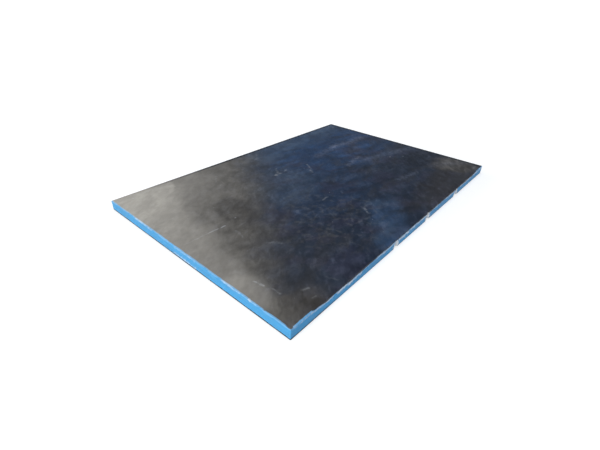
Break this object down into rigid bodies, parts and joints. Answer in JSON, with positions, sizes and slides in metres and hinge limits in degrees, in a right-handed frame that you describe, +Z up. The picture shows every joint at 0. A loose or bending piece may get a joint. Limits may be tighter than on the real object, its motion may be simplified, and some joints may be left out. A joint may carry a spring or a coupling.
{
  "type": "phenolic plywood sheet",
  "caption": "Flat rectangular film-faced plywood panel with dark phenolic faces, blue painted edges over eased arrises and a chipped long edge, for formwork or decking.",
  "frame": {"origin": "centre of the lower face, on the surface that the sheet lies on", "axes": "+X along the length, +Y along the width, +Z up out of the upper film face; the chipped long edge is at -Y"},
  "size_m": [0.915, 0.61, 0.025],
  "materials": {
    "veneer": "raw torn veneer",
    "phenolic_film": "satin resin film, scuffed and dusty",
    "edge_paint": "sprayed acrylic edge paint, worn at the arrises"
  },
  "bodies": {
    "root": {"veneer_core": "veneer", "top_film": "phenolic_film", "bottom_film": "phenolic_film", "edge_seal": "edge_paint"}
  },
  "joints": []
}
